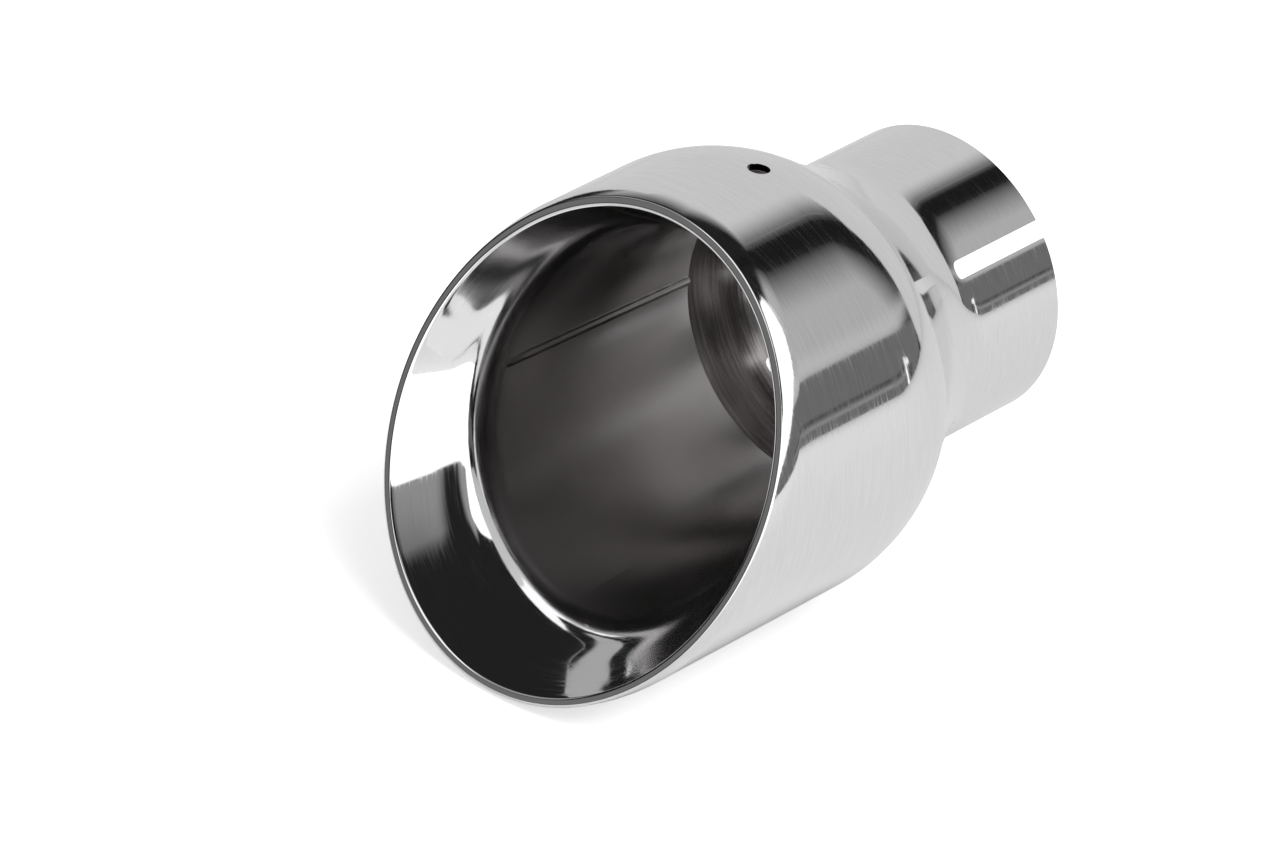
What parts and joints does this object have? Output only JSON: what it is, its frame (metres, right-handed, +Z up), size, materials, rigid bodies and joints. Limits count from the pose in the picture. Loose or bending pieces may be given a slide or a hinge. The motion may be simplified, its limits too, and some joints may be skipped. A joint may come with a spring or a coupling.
{
  "type": "exhaust tip",
  "caption": "Slash-cut double-wall exhaust tip in polished stainless steel, with a necked and slotted collar that slips over a tailpipe and takes a band clamp.",
  "frame": {"origin": "centre of the open inlet end, on the tube's axis", "axes": "+X along the tube's axis out of the inlet, the way the tailpipe leaves; the outlet opens towards -X; +Z up, towards the short side of the slash"},
  "size_m": [0.144, 0.1016, 0.1016],
  "materials": {
    "polished_shell": "mirror polished stainless steel with fine circular brush lines",
    "satin_liner": "satin stainless tube, with its flared lip polished to match the shell"
  },
  "bodies": {
    "root": {"outer_shell": "polished_shell", "inner_liner": "satin_liner"}
  },
  "joints": []
}
